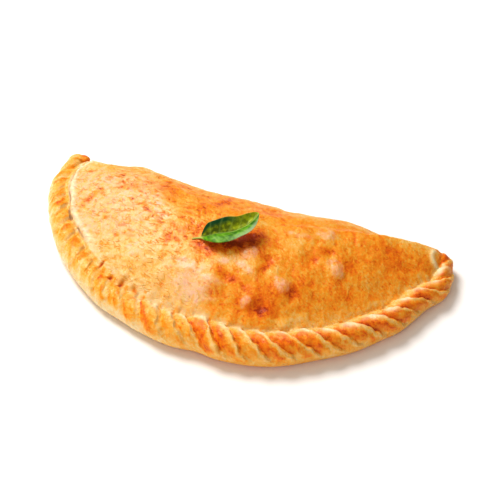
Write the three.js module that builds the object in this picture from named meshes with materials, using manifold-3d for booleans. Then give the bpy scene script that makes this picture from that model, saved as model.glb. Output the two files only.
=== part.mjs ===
// Calzone: a round of bread dough folded over its filling into a half moon, sealed along
// the curved side with a rope of overlapping folds, and one basil leaf lying on top.
// Millimetres. X runs along the straight fold, Y from the curved rim to the fold, Z up.
// The flat base lies on Z = 0 and the origin is under the middle of the crust's box.

import * as THREE from 'three';
import { mergeVertices } from 'three/addons/utils/BufferGeometryUtils.js';
import Module from 'manifold-3d';

// ---- Driving dimensions ----

// Centre line of the rope rim seen from above, left tip to right tip: x, y, rope radius.
const RIM_STATIONS = [
  [-137.5, 1.6, 5.2],
  [-141.5, -4, 6.5],
  [-139.5, -20, 7.7],
  [-133, -43, 8.8],
  [-101, -83, 9.7],
  [-60, -113, 10.4],
  [-30, -121, 10.6],
  [0, -127, 11.2],
  [57, -120, 11.0],
  [103.5, -87.5, 10.0],
  [137.5, -33, 8.2],
  [141.2, -14, 7.5],
  [136.5, -1, 8.4],
];

// Where the rope bulges out of or dips into that line: distance along the rim, reach, push.
const RIM_BULGES = [
  [100, 45, 1.3],
  [182, 12, 2],
  [227, 9, -1.8],
  [301, 16, -1.5],
  [358, 9, 1.4],
  [386, 10, -1.9],
];

// Edge of the filled body, once round: x, y, height of the edge, how the crust falls to that
// edge (0.5 is a round shoulder, above 1 a slope that flattens out), and the share of the way
// back to the crown by which the edge tucks under.
const BODY_STATIONS = [
  [-134, -5, 8, 0.7, 0.02],
  [-137, -22, 9, 0.66, 0],
  [-129, -45, 10, 0.68, 0],
  [-98, -81, 12, 0.78, 0],
  [-58, -110, 12, 0.88, 0],
  [-2, -124, 12, 1.0, 0],
  [56, -117, 12, 1.1, 0],
  [101, -84, 11, 1.15, 0],
  [135, -33, 9, 1.0, 0],
  [140, -8, 9, 0.6, 0.02],
  [135, 5, 8.3, 0.48, 0.04],
  [108, 0.8, 10, 0.55, 0.06],
  [90, 2.2, 11.5, 0.5, 0.07],
  [74, 3, 12, 0.5, 0.08],
  [36, -3, 12, 0.5, 0.09],
  [0, -4, 12, 0.5, 0.09],
  [-36, -7, 12, 0.5, 0.09],
  [-66, -5, 12, 0.5, 0.08],
  [-88, -2, 12, 0.52, 0.07],
  [-112, -4, 9, 0.6, 0.05],
];

const CROWN = new THREE.Vector3(-4, -58, 42);
// How the crust falls near the crown, the same in every direction.
const MEAN_FALL = 0.75;

// Where each fold of the rope crosses its top: distance along the rim from the left tip.
const FOLD_PLACES = [
  1, 15, 31, 44, 55, 66, 78, 92, 113, 127, 139, 151, 165, 177, 193, 209,
  217, 229, 245, 258, 270, 285, 300, 313, 326, 346, 360, 374, 388, 401, 413, 428,
];
const FOLD_END_SPACING = 12;
const CORE_TOP_SHARE = 0.8;
const CORE_BASE_SHARE = 0.98;
const ROPE_CENTRE_SHARE = 0.92;
const FOLD_ADVANCE = 28;
const FOLD_INNER_ANGLE = THREE.MathUtils.degToRad(158);
const FOLD_TOP_ANGLE = THREE.MathUtils.degToRad(75);
const FOLD_OUTER_ANGLE = THREE.MathUtils.degToRad(-30);
const FOLD_OVERLAP = 0.6;
const FOLD_OFFSET_SHARE = 0.54;
const FOLD_DEPTH_SHARE = 0.48;
const FOLD_TILT = 0.14;
const FOLD_UNEVENNESS = 0.09;

// The basil leaf from the end of its stalk to its tip, along the edge nearer to the rope, the
// midrib and the edge nearer to the fold: x, y and height above the table.
const LEAF_NEAR_EDGE = [
  [-12.7, -75.5, 41],
  [-7.6, -73.5, 41.8],
  [-4.5, -74.2, 42.2],
  [-0.2, -74.7, 43],
  [4.6, -74.7, 43.8],
  [10, -73, 44.8],
  [14, -70.4, 45.7],
  [18.2, -66.1, 47],
  [21.9, -61.4, 47.9],
  [23.6, -56.6, 48.9],
  [23.5, -50.6, 49.5],
  [21.6, -44.1, 49.3],
];
const LEAF_MIDRIB = [
  [-12.8, -74.9, 41.2],
  [-7.8, -72.8, 41.9],
  [-5.3, -70.9, 42.3],
  [-2.1, -68.4, 42.8],
  [1.8, -65.8, 43.4],
  [6.5, -63.6, 44],
  [10.8, -61.3, 44.6],
  [14.4, -58, 45.6],
  [17.6, -54.6, 46.7],
  [19.5, -50.8, 47.8],
  [20.8, -47.3, 48.8],
  [21.5, -43.8, 49.4],
];
const LEAF_FAR_EDGE = [
  [-12.9, -74.3, 41.2],
  [-8.2, -72.1, 42.2],
  [-7.8, -70.3, 43.8],
  [-7.2, -67.2, 46.5],
  [-5.6, -64.5, 48.8],
  [-2, -62, 50.3],
  [3.9, -57.1, 51.3],
  [10.1, -53.9, 51.2],
  [14, -49.7, 51.2],
  [16.8, -46.3, 50.6],
  [19.3, -43.9, 49.9],
  [21.3, -43.5, 49.5],
];
// How far the blade stands off those places, and by what share of its length it gets there.
const LEAF_LIFT = new THREE.Vector3(1.2, -2.8, 3);
const LEAF_LIFT_SHARE = 0.35;
const LEAF_THICKNESS = 1;
const LEAF_FAR_BULGE = -1.6;
const LEAF_NEAR_BULGE = 0.9;
const LEAF_FULL_WIDTH = 8;
const LEAF_GAP = 0.6;

// ---- Fineness of the facets ----

const BODY_SECTORS = 84;
const BODY_TOP_RINGS = 12;
const CORE_SECTIONS = 84;
const CORE_SIDES = 10;
const FOLD_SECTIONS = 7;
const FOLD_SIDES = 10;
const LEAF_SECTIONS = 22;
const LEAF_SPANS = 4;

const UP = new THREE.Vector3(0, 0, 1);
const wasm = await Module();
wasm.setup();

// ---- Shared helpers ----

// A closed skin over equal rings of points, drawn to a point at either end.
function loft(firstPole, rings, lastPole) {
  const sides = rings[0].length;
  const points = [firstPole, ...rings.flat(), lastPole];
  const last = points.length - 1;
  const indices = [];
  for (let side = 0; side < sides; side += 1) {
    const next = (side + 1) % sides;
    indices.push(0, 1 + next, 1 + side);
    for (let ring = 0; ring < rings.length - 1; ring += 1) {
      const here = 1 + ring * sides;
      const there = here + sides;
      indices.push(here + side, here + next, there + side);
      indices.push(here + next, there + next, there + side);
    }
    const end = 1 + (rings.length - 1) * sides;
    indices.push(last, end + side, end + next);
  }
  const geometry = new THREE.BufferGeometry().setFromPoints(points);
  geometry.setIndex(indices);
  return facingOut(geometry);
}

function signedVolume(geometry) {
  const place = geometry.getAttribute('position');
  const index = geometry.getIndex();
  const [a, b, c] = [new THREE.Vector3(), new THREE.Vector3(), new THREE.Vector3()];
  let volume = 0;
  for (let corner = 0; corner < index.count; corner += 3) {
    a.fromBufferAttribute(place, index.getX(corner));
    b.fromBufferAttribute(place, index.getX(corner + 1));
    c.fromBufferAttribute(place, index.getX(corner + 2));
    volume += a.dot(b.cross(c)) / 6;
  }
  return volume;
}

// Turns a closed skin right side out.
function facingOut(geometry) {
  if (signedVolume(geometry) < 0) {
    geometry.setIndex([...geometry.getIndex().array].reverse());
  }
  return geometry;
}

function toSolid(geometry) {
  const bare = geometry.clone();
  bare.deleteAttribute('normal');
  bare.deleteAttribute('uv');
  const merged = mergeVertices(bare);
  return new wasm.Manifold(new wasm.Mesh({
    numProp: 3,
    vertProperties: new Float32Array(merged.getAttribute('position').array),
    triVerts: new Uint32Array(merged.getIndex().array),
  }));
}

function toGeometry(solid) {
  const mesh = solid.getMesh();
  const geometry = new THREE.BufferGeometry();
  geometry.setAttribute('position', new THREE.BufferAttribute(mesh.vertProperties, 3));
  geometry.setIndex(new THREE.BufferAttribute(mesh.triVerts, 1));
  geometry.computeVertexNormals();
  return geometry;
}

function curveThrough(rows, closed = false) {
  const points = rows.map((row) => new THREE.Vector3(...row));
  return new THREE.CatmullRomCurve3(points, closed, 'catmullrom', 0.5);
}

// A repeatable unevenness between -1 and 1 for each fold and each kind of variation.
function uneven(fold, kind) {
  return Math.sin(fold * 2.4 + kind * 1.7) * Math.cos(fold * 1.1 + kind * 0.6);
}

// ---- Body ----

const bodyEdge = curveThrough(BODY_STATIONS.map((row) => row.slice(0, 3)), true);
const bodyProfile = curveThrough(BODY_STATIONS.map((row) => [row[3], row[4], 0]), true);

// A point of the crust's top, at a share of the way from the crown to the edge.
function bodyTop(turn, share) {
  const edge = bodyEdge.getPoint(turn);
  const fall = MEAN_FALL + (bodyProfile.getPoint(turn).x - MEAN_FALL) * share ** 2;
  const point = new THREE.Vector3().lerpVectors(CROWN, edge, share);
  point.z = edge.z + (CROWN.z - edge.z) * (1 - share * share) ** fall;
  return point;
}

// A point of the edge where it turns under to the flat base.
function bodyUnder(turn, drop) {
  const edge = bodyEdge.getPoint(turn);
  const inset = Math.max(bodyProfile.getPoint(turn).y, 0) * (1 - Math.cos(drop * Math.PI / 2));
  const point = new THREE.Vector3().lerpVectors(edge, CROWN, inset);
  point.z = edge.z * (1 - Math.sin(drop * Math.PI / 2));
  return point;
}

function bodyRing(pointAt) {
  return Array.from({ length: BODY_SECTORS }, (_, sector) => pointAt(sector / BODY_SECTORS));
}

function bodyGeometry() {
  const rings = [];
  for (let ring = 1; ring <= BODY_TOP_RINGS; ring += 1) {
    const share = Math.sin((ring / BODY_TOP_RINGS) * Math.PI / 2);
    rings.push(bodyRing((turn) => bodyTop(turn, share)));
  }
  for (const drop of [0.4, 0.75, 1]) {
    rings.push(bodyRing((turn) => bodyUnder(turn, drop)));
  }
  const underCrown = new THREE.Vector3(CROWN.x, CROWN.y, 0);
  return loft(CROWN, rings, underCrown);
}

// ---- Rope rim ----

const rimCurve = curveThrough(RIM_STATIONS);
const rimLength = rimCurve.getLength();

// How far the rope stands out of its line at a distance along the rim.
function rimPush(distance) {
  return RIM_BULGES.reduce((sum, [middle, reach, push]) => (
    sum + push * Math.exp(-(((distance - middle) / reach) ** 2))), 0);
}

// The rope's centre, radius and directions at a distance along the rim.
function rimFrame(distance) {
  const turn = THREE.MathUtils.clamp(distance / rimLength, 0, 1);
  const station = rimCurve.getPointAt(turn);
  const along = rimCurve.getTangentAt(turn).setZ(0).normalize();
  const outward = new THREE.Vector3(along.y, -along.x, 0);
  const centre = new THREE.Vector3(station.x, station.y, station.z * ROPE_CENTRE_SHARE);
  const beyond = distance - turn * rimLength;
  centre.addScaledVector(along, beyond).addScaledVector(outward, rimPush(distance));
  return { centre, radius: station.z, along, outward };
}

function aroundRope(frame, angle) {
  return new THREE.Vector3()
    .addScaledVector(frame.outward, Math.cos(angle))
    .addScaledVector(UP, Math.sin(angle));
}

// The rope's core is slack under the folds and full below them, where they flow together.
function coreShare(angle) {
  const low = THREE.MathUtils.smoothstep(-Math.sin(angle), -0.7, 0.6);
  return THREE.MathUtils.lerp(CORE_TOP_SHARE, CORE_BASE_SHARE, low);
}

function coreGeometry() {
  const startReach = rimFrame(0).radius * CORE_TOP_SHARE;
  const endReach = rimFrame(rimLength).radius * CORE_BASE_SHARE;
  const rings = [];
  for (let section = 1; section < CORE_SECTIONS; section += 1) {
    const distance = (rimLength + startReach + endReach) * (section / CORE_SECTIONS) - startReach;
    const frame = rimFrame(distance);
    const beyond = Math.max(-distance / startReach, (distance - rimLength) / endReach, 0);
    const radius = frame.radius * Math.sqrt(1 - beyond * beyond);
    rings.push(Array.from({ length: CORE_SIDES }, (_, side) => {
      const angle = (side / CORE_SIDES) * Math.PI * 2;
      return aroundRope(frame, angle).multiplyScalar(radius * coreShare(angle)).add(frame.centre);
    }));
  }
  return loft(rimFrame(-startReach).centre, rings, rimFrame(rimLength + endReach).centre);
}

// How far a fold may spread before it would stand out past the rope's nearer end.
function roomToEnd(distance) {
  const reach = rimFrame(distance).radius * CORE_TOP_SHARE;
  return Math.max(Math.min(distance, rimLength - distance) + reach, reach * 0.2);
}

// One fold of the rope: a rounded strip of dough laid from the inner side over the top
// and down the outer side, running forward along the rim and overlapping its neighbour.
function foldGeometry(fold, place, width) {
  const advance = FOLD_ADVANCE * (1 + FOLD_UNEVENNESS * uneven(fold, 1));
  const swell = 1 + FOLD_UNEVENNESS * uneven(fold, 2);
  const topShare = (FOLD_INNER_ANGLE - FOLD_TOP_ANGLE) / (FOLD_INNER_ANGLE - FOLD_OUTER_ANGLE);
  const rings = [];
  const distanceAt = (share) => (
    THREE.MathUtils.clamp(place + advance * (share - topShare), 0, rimLength));
  const pole = (share) => {
    const angle = THREE.MathUtils.lerp(FOLD_INNER_ANGLE, FOLD_OUTER_ANGLE, share);
    const frame = rimFrame(distanceAt(share));
    return aroundRope(frame, angle).multiplyScalar(frame.radius * FOLD_OFFSET_SHARE).add(frame.centre);
  };
  for (let section = 0; section < FOLD_SECTIONS; section += 1) {
    const share = (section + 0.5) / FOLD_SECTIONS;
    const angle = THREE.MathUtils.lerp(FOLD_INNER_ANGLE, FOLD_OUTER_ANGLE, share);
    const frame = rimFrame(distanceAt(share));
    const outwards = aroundRope(frame, angle);
    const fullness = Math.sin(Math.PI * share) ** 0.45;
    const halfWidth = Math.min(width * FOLD_OVERLAP, roomToEnd(distanceAt(share))) * fullness;
    const depth = frame.radius * FOLD_DEPTH_SHARE * swell * fullness;
    rings.push(Array.from({ length: FOLD_SIDES }, (_, side) => {
      const around = (side / FOLD_SIDES) * Math.PI * 2;
      const sideways = halfWidth * Math.cos(around);
      const rise = frame.radius * FOLD_OFFSET_SHARE + depth * Math.sin(around) + FOLD_TILT * sideways;
      return new THREE.Vector3().copy(frame.centre)
        .addScaledVector(frame.along, sideways)
        .addScaledVector(outwards, rise);
    }));
  }
  return loft(pole(0), rings, pole(1));
}

function foldSolids() {
  return FOLD_PLACES.map((place, fold) => {
    const before = FOLD_PLACES[fold - 1] ?? place - FOLD_END_SPACING;
    const after = FOLD_PLACES[fold + 1] ?? place + FOLD_END_SPACING;
    return toSolid(foldGeometry(fold, place, (after - before) / 2));
  });
}

// ---- Whole crust ----

// Everything below the surface that the calzone was baked on.
function belowBase() {
  const size = 400;
  return toSolid(new THREE.BoxGeometry(size, size, size).translate(0, 0, -size / 2));
}

function crustGeometry() {
  let crust = toSolid(bodyGeometry()).add(toSolid(coreGeometry()));
  for (const fold of foldSolids()) {
    crust = crust.add(fold);
  }
  return toGeometry(crust.subtract(belowBase()));
}

// ---- Basil leaf ----

// Height of the crust's top under a point seen from above.
function crustHeight(crustMesh, x, y) {
  const ray = new THREE.Raycaster(new THREE.Vector3(x, y, CROWN.z * 2), new THREE.Vector3(0, 0, -1));
  return ray.intersectObject(crustMesh)[0].point.z;
}

// The leaf is a thin blade folded along its midrib: hollow toward the far edge and slightly
// arched toward the near one. Each section runs over the upper side from the near edge to
// the far one and back along the underside.
function leafGeometry(crustMesh) {
  const near = curveThrough(LEAF_NEAR_EDGE);
  const midrib = curveThrough(LEAF_MIDRIB);
  const far = curveThrough(LEAF_FAR_EDGE);
  const pointAt = (share, side) => {
    const middle = midrib.getPoint(share);
    const edge = (side > 0 ? far : near).getPoint(share);
    const fullness = Math.min(middle.distanceTo(edge) / LEAF_FULL_WIDTH, 1);
    const bulge = (side > 0 ? LEAF_FAR_BULGE : LEAF_NEAR_BULGE) * fullness;
    const lift = THREE.MathUtils.smoothstep(share, 0, LEAF_LIFT_SHARE);
    const point = middle.lerp(edge, Math.abs(side)).addScaledVector(LEAF_LIFT, lift);
    const free = point.z + bulge * Math.sin(Math.PI * Math.abs(side));
    return point.setZ(Math.max(free, crustHeight(crustMesh, point.x, point.y) + LEAF_GAP));
  };
  const rings = [];
  for (let section = 0; section <= LEAF_SECTIONS; section += 1) {
    const lower = [];
    for (let span = LEAF_SPANS; span >= -LEAF_SPANS; span -= 1) {
      lower.push(pointAt(section / LEAF_SECTIONS, span / LEAF_SPANS));
    }
    const upper = lower.map((point) => point.clone().setZ(point.z + LEAF_THICKNESS)).reverse();
    rings.push([...upper, ...lower]);
  }
  return loft(middleOf(rings[0]), rings, middleOf(rings.at(-1)));
}

function middleOf(points) {
  const sum = points.reduce((total, point) => total.add(point), new THREE.Vector3());
  return sum.divideScalar(points.length);
}

// ---- Materials ----

function crustMaterial() {
  return new THREE.MeshStandardMaterial({ color: 0xe39a3c, roughness: 0.55, metalness: 0 });
}

function leafMaterial() {
  return new THREE.MeshStandardMaterial({ color: 0x5f8a1e, roughness: 0.45, metalness: 0 });
}

// ---- Assembly ----

function assemble() {
  const crust = new THREE.Mesh(crustGeometry(), crustMaterial());
  crust.name = 'calzone';
  const leaf = new THREE.Mesh(leafGeometry(crust), leafMaterial());
  leaf.name = 'basil_leaf';
  const middle = new THREE.Box3().setFromObject(crust).getCenter(new THREE.Vector3());
  for (const mesh of [crust, leaf]) {
    mesh.position.set(-middle.x, -middle.y, 0);
  }
  return new THREE.Group().add(crust, leaf);
}

export default assemble();
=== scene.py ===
"""Looks of a baked calzone: a golden crust with a rope-twisted rim, and a basil leaf on top.

Shapes are worked out in millimetres in the plan frame of the rim and body stations below, and
are then centred on the CAD crust's box and written in metres.
"""

import math

import bpy
import numpy as np
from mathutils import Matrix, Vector, bvhtree, kdtree, noise


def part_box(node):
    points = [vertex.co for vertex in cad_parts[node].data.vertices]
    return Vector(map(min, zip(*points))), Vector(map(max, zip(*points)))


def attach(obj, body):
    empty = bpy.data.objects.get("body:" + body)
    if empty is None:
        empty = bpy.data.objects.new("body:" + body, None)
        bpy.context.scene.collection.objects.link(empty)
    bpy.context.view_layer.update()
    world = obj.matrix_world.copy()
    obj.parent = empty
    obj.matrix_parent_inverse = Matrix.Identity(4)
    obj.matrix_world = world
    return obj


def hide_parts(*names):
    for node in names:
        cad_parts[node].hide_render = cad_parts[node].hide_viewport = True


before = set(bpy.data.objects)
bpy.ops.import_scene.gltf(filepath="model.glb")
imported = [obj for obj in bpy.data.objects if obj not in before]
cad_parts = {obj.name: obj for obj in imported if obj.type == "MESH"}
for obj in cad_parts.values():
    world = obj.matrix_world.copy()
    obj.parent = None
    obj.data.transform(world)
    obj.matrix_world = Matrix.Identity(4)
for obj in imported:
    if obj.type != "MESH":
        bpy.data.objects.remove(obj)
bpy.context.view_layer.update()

MM = 0.001

# ---- Dimensions, in millimetres ----

# Centre line of the rope rim seen from above, left tip to right tip: x, y, rope radius.
RIM_STATIONS = [
    (-137.5, 1.6, 5.2),
    (-141.5, -4, 6.5),
    (-139.5, -20, 7.7),
    (-133, -43, 8.8),
    (-101, -83, 9.7),
    (-60, -113, 10.4),
    (-30, -121, 10.6),
    (0, -127, 11.2),
    (57, -120, 11.0),
    (103.5, -87.5, 10.0),
    (137.5, -33, 8.2),
    (141.2, -14, 7.5),
    (136.5, -1, 8.4),
]

# Where the rope bulges out of or dips into that line: distance along the rim, reach, push.
RIM_BULGES = [
    (100, 45, 1.3),
    (182, 12, 2.0),
    (227, 9, -1.8),
    (301, 16, -1.5),
    (358, 9, 1.4),
    (386, 10, -1.9),
]

# Edge of the filled body, once round: x, y, height of the edge, how the crust falls from the
# crown to that edge, and the share of the way back to the crown that the edge tucks under.
BODY_STATIONS = [
    (-134, -5, 8, 0.7, 0.02),
    (-137, -22, 9, 0.66, 0),
    (-129, -45, 10, 0.68, 0),
    (-98, -81, 12, 0.78, 0),
    (-58, -110, 12, 0.88, 0),
    (-2, -124, 12, 1.0, 0),
    (56, -117, 12, 1.1, 0),
    (101, -84, 11, 1.15, 0),
    (135, -33, 9, 1.0, 0),
    (140, -8, 9, 0.6, 0.02),
    (135, 5, 8.3, 0.48, 0.04),
    (108, 0.8, 10, 0.55, 0.06),
    (90, 2.2, 11.5, 0.5, 0.07),
    (74, 3, 12, 0.5, 0.08),
    (36, -3, 12, 0.5, 0.09),
    (0, -4, 12, 0.5, 0.09),
    (-36, -7, 12, 0.5, 0.09),
    (-66, -5, 12, 0.5, 0.08),
    (-88, -2, 12, 0.52, 0.07),
    (-112, -4, 9, 0.6, 0.05),
]
CROWN = np.array([-4.0, -58.0, 42.0])
MEAN_FALL = 0.75

# The rope's folds, left tip to right tip: where the crown lies along the rim (on top of the
# rope, at FOLD_DATUM), how brown it is, and how far it stands out.
FOLDS = [
    (1, 1, 0.6),
    (15, 0.5, 0.4),
    (31, 0.75, 0.5),
    (44, 0.6, 0.35),
    (55, 0.8, 0.5),
    (66, 1, 0.6),
    (78, 0.75, 0.4),
    (92, 0.8, 0.5),
    (113, 1, 0.6),
    (127, 0.7, 0.4),
    (139, 0.7, 0.4),
    (151, 0.8, 0.34),
    (165, 0.8, 0.36),
    (177, 0.75, 0.34),
    (193, 0.9, 0.6),
    (209, 0.65, 0.6),
    (217, 0.5, 0.6),
    (229, 1, 1),
    (245, 1, 1),
    (258, 0.75, 1),
    (270, 1, 1),
    (285, 0.95, 1),
    (300, 0.9, 1),
    (313, 0.85, 0.8),
    (326, 0.95, 1),
    (346, 1, 1),
    (360, 1, 1),
    (374, 0.85, 1),
    (388, 1, 1),
    (401, 0.85, 1),
    (413, 0.95, 0.9),
    (428, 0.7, 0.8),
]
FOLD_DATUM = math.radians(75)
FOLD_SLANT = 8.6
LEFT_FOLD_SLANT = 5
FOLD_WAVER = 0.9
FOLD_FLUTTER = 0.8
FIRST_FOLD_REACH = 9
LAST_FOLD_REACH = 34
CROWN_PHASE = 0.6
LIP_PHASE = 0.9
LIP_SOFTENING = 0.3
LIP_RISE = 0.15
LIP_SETBACK = 0.05
LIP_WIDTH = 0.11

# In radii of the rope: size of the folds' tops and of the core under them, height of the centre
# line, and the heights between which the core fills out.
FOLD_TOP_SHARE = 1.03
CORE_TOP_SHARE = 0.74
CORE_BASE_SHARE = 0.98
RIGHT_END_FILLING = 0.14
ROPE_CENTRE_SHARE = 0.92
CORE_FILLS = (0.7, -0.6)

# Angles round the rope, from its outer side over its top, between which the folds rise and sink.
FOLD_OUTER_FADE = np.radians([-32, 16])
FOLD_INNER_FADE = np.radians([150, 180])

# Distances along the rim between which the rope's shape and colour change.
SLANT_CHANGE = (150, 250)
LIP_SHARPENING = (160, 235)
RIPPLE_CALMING = (150, 200)
TUCK_START = (120, 170)
FAR_LEFT_END = (140, 175)
LEFT_PART_END = (175, 235)
LATE_LIP_START = (320, 350)
LIP_SPOT_START = (150, 190)
LIP_SPOT_CLIMB = (280, 330)
RIGHT_END_START = (396, 424)

# Distances out from its centre line, in radii, between which the rope gives way to the top.
ROPE_EDGE = (1.06, 1.22)
DOME_EDGE = (1.1, 1.4)
LIP_SPOT_EDGE = (1.15, 1.4)

# Angles round the rope where browning starts, fades and ends, with what two gain at the left.
BROWN_FROM = math.radians(4)
BROWN_FROM_LEFT = math.radians(44)
BROWN_FADES = math.radians(98)
BROWN_TO = math.radians(138)
BROWN_TO_LEFT = math.radians(16)
# Shares of a fold: start of its pale lip, what that gains at the right, reach of its crease.
PALE_LIP_PHASE = 0.62
LATE_LIP_SHIFT = 0.07
CREASE_PHASE = 0.08

# Pale spots with a painted highlight on the lips: place and reach across the fold and round the rope.
LIP_SPOT_PHASE = 0.78
LIP_SPOT_LENGTH = 0.3
LIP_SPOT_ANGLE = math.radians(122)
LIP_SPOT_TURN = math.radians(18)
LIP_SPOT_WIDTH = 0.34

# What a radian round the rope counts for in its grain: little, to draw it out along the folds.
GRAIN_TURN = 2.4

# Places in x between which the left side sets in, and the wrinkles turn steeper.
LEFT_SIDE = (20, -40)
WRINKLE_CHANGE = (-48, -18)

# The browned end of the rope at the left.
LEFT_TIP = (-133.0, 1.0)
LEFT_TIP_RADIUS = 7

# The rounded end that the rope curls into at the right: its pale edge and its brown middle.
CURL_MIDDLE = (137.5, -3.8)
CURL_RADIUS = 7.2
CURL_WIDTH = 1.7
KNOB_MIDDLE = (136.5, -1.3)
KNOB_RADIUS = 6.12

# The open seam between the rope and the filled top at the left, from the tip on: x and y.
SEAM_LINE = [
    (-126, -10.5),
    (-130.5, -17.5),
    (-130.5, -23.5),
    (-129, -30.5),
    (-126.5, -38),
    (-123.5, -44.5),
    (-119.5, -50.5),
    (-117, -57),
    (-112, -64),
    (-107, -69),
    (-101.5, -73.5),
    (-96.5, -78),
    (-90.5, -83),
    (-86.5, -87.5),
    (-81.5, -91.5),
]
SEAM_GAP_WIDTH = 0.7
SEAM_EDGE_PLACE = 2.6
SEAM_EDGE_WIDTH = 1.7
SEAM_PUCKER = 4.6
# Shares of its length over which the gap closes and the pale edge beside it ends.
SEAM_GAP_END = (0.72, 0.97)
SEAM_EDGE_END = (0.85, 0.99)

# Lumps and hollows of the filled top: x, y, radius, rise.
LUMPS = [
    (54, -82, 6, 2.6),
    (26, -69, 6, 1.9),
    (80, -54, 5.5, 2.2),
    (66, -32, 6, 1.9),
    (50, -40, 6, 1.3),
    (10, -98, 9, 1.9),
    (-6, -106, 7, 0.8),
    (38, -101, 3.6, 2.2),
    (33, -80, 5, 1.3),
    (45, -78, 4, 1.3),
    (47, -100, 3.4, -1.5),
    (62, -84, 4, -1.1),
    (63, -56, 4.5, -1.2),
    (72, -46, 4, -1.1),
    (18, -93, 4.5, -1.0),
    (39, -70, 3, -0.8),
    (-95, -40, 12, 1.0),
    (-78, -46, 8, 0.8),
    (-50, -52, 11, 1.1),
    (-45, -88, 9, 0.8),
    (-12, -97, 7, 0.9),
    (-30, -78, 4, -0.6),
    (-64, -30, 12, -0.7),
    (-100, -56, 5, -0.6),
    (-86, -66, 5, -0.5),
    (-20, -64, 8, -0.7),
]

# Slits where the rope's folds meet the filled top: x, y, half length, half width, turn in
# degrees, depth, and how dark it is inside.
SLITS = [
    (-69, -99, 2.4, 1.0, 60, 0.8, 0.8),
    (-58.5, -107, 1.7, 1.2, 40, 0.8, 0.8),
    (-49, -109.5, 3.4, 2.0, 60, 0.7, 0.5),
    (-50, -111, 1.4, 1.0, 60, 0.4, 0.5),
    (-38, -112, 2.4, 1.4, -40, 0.5, 0.5),
    (-22, -118, 3, 1.1, -66, 0.4, 0.15),
    (118, -58, 2.6, 0.9, 66, 1.0, 0.4),
    (110, -70, 2.4, 0.8, 60, 0.8, 0.2),
]
SLIT_DEPTH, SLIT_DARKNESS = 5, 6

# How high each kind of relief stands, and how deep the seam is.
CRUMPLE_RISE = 0.24
CREST_RISE = 0.12
LEFT_CREST_RISE = 0.28
SEAM_EDGE_RISE = 0.9
SEAM_DEPTH = 1.1
CURL_RISE = 0.8
KNOB_RISE = 0.5
ROPE_CRUMPLE_RISE = 0.25
ROPE_GRAIN_RISE = 0.3
ROPE_RIPPLE_RISE = 0.9
# Where the folds run out into the top: height, and how far out and how widely, in radii.
TUCK_RISE = 0.35
TUCK_REACH = 1.4
TUCK_WIDTH = 0.4
# What is lower than this lies flat on the table.
BASE_SNAP = 0.35

# Browner and paler places of the filled top, with the leaf's shadow painted onto it: x, y, half
# length, half width, turn in degrees, and how much browner.
BROWNING_AND_SHADOW_PATCHES = [
    (-96, -14, 20, 11, 0, 0.2),
    (-45, -24, 20, 10, 0, 0.14),
    (-76, -41, 9, 5, 10, 0.3),
    (-42, -45, 9, 4, -20, 0.22),
    (-11, -30, 14, 5, 70, 0.26),
    (-46, -36, 15, 6, -15, 0.16),
    (-26, -52, 14, 8, 80, 0.26),
    (-32, -70, 15, 8, -10, 0.18),
    (-52, -60, 16, 5, -35, 0.1),
    (-13, -65, 8, 8, 0, 0.24),
    (-3, -76, 9, 4, -20, 0.3),
    (0, -84, 7, 3, 60, 0.16),
    # The next three rows are the leaf's painted shadow on the crust.
    (12, -70, 13, 4.5, 18, 0.56),
    (22, -59, 8, 4.5, 50, 0.6),
    (36, -55, 8, 4, 0, 0.12),
    # From here on, browner and paler places of the crust itself.
    (-30, -78, 4.5, 3.4, 60, 0.32),
    (-21, -79, 2.6, 2.2, 0, 0.32),
    (-29, -87, 2.6, 1.8, 90, 0.3),
    (-42, -59.5, 1.8, 1.6, 0, 0.5),
    (24, -25, 7, 5, 0, 0.14),
    (73, -22, 6, 6, 0, 0.1),
    (112, -25, 10, 9, 0, 0.17),
    (128, -12, 8, 6, -60, 0.14),
    (23.5, -92.5, 9, 2, -14, 0.32),
    (40, -76, 7, 2.2, 81, 0.3),
    (47.5, -101, 2.6, 1.7, 20, 0.4),
    (46.5, -98, 11, 8, 20, 0.26),
    (30, -108, 14, 4, 5, 0.1),
    (61, -82, 7, 3.4, 70, 0.26),
    (64, -56, 4.5, 2.8, 30, 0.26),
    (72, -46, 3.6, 2.8, 60, 0.22),
    (44, -69, 2.2, 1.6, 30, 0.25),
    (38, -70, 3, 2, 60, 0.16),
    (-102, -53, 9, 3.4, 60, 0.36),
    (-82, -69, 5, 1.8, 12, 0.44),
    (-62, -69, 4, 1.3, 12, 0.34),
    (-52, -72, 4, 1.8, 0, 0.2),
    (-86, -37, 4, 1.8, 30, 0.34),
    (-60, -55, 3, 2, -30, 0.38),
    (88, -48, 5, 3.4, 30, 0.2),
    (101, -20, 9, 4, 0, 0.1),
    (90, -66, 4, 2.6, 0, 0.16),
    (-12, -100, 16, 11, 0, -0.14),
    (3, -110, 9, 5, 0, -0.12),
    (17, -81, 13, 4.5, 0, -0.18),
    (32, -81, 4, 8, 0, -0.22),
    (46, -74, 4, 7, 0, -0.24),
    (52, -49, 6, 8, 0, -0.17),
    (67, -35, 7, 6, 0, -0.12),
    (57, -92, 8, 4, 20, -0.14),
    (-40, -92, 16, 6, -15, -0.08),
    (78, -56, 5, 6, 0, -0.14),
    (99, -49, 6, 5, 0, -0.14),
    (66, -99, 9, 5, 35, -0.14),
    (27, -42, 8, 7, -40, -0.14),
    (-30, -44, 6, 5, 0, -0.1),
    (108, -5, 12, 6, 0, -0.24),
    (-72, -12, 9, 7, -60, -0.16),
    (48, -16, 14, 8, 0, -0.1),
    (-112, -65, 12, 5, -50, -0.08),
]
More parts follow.
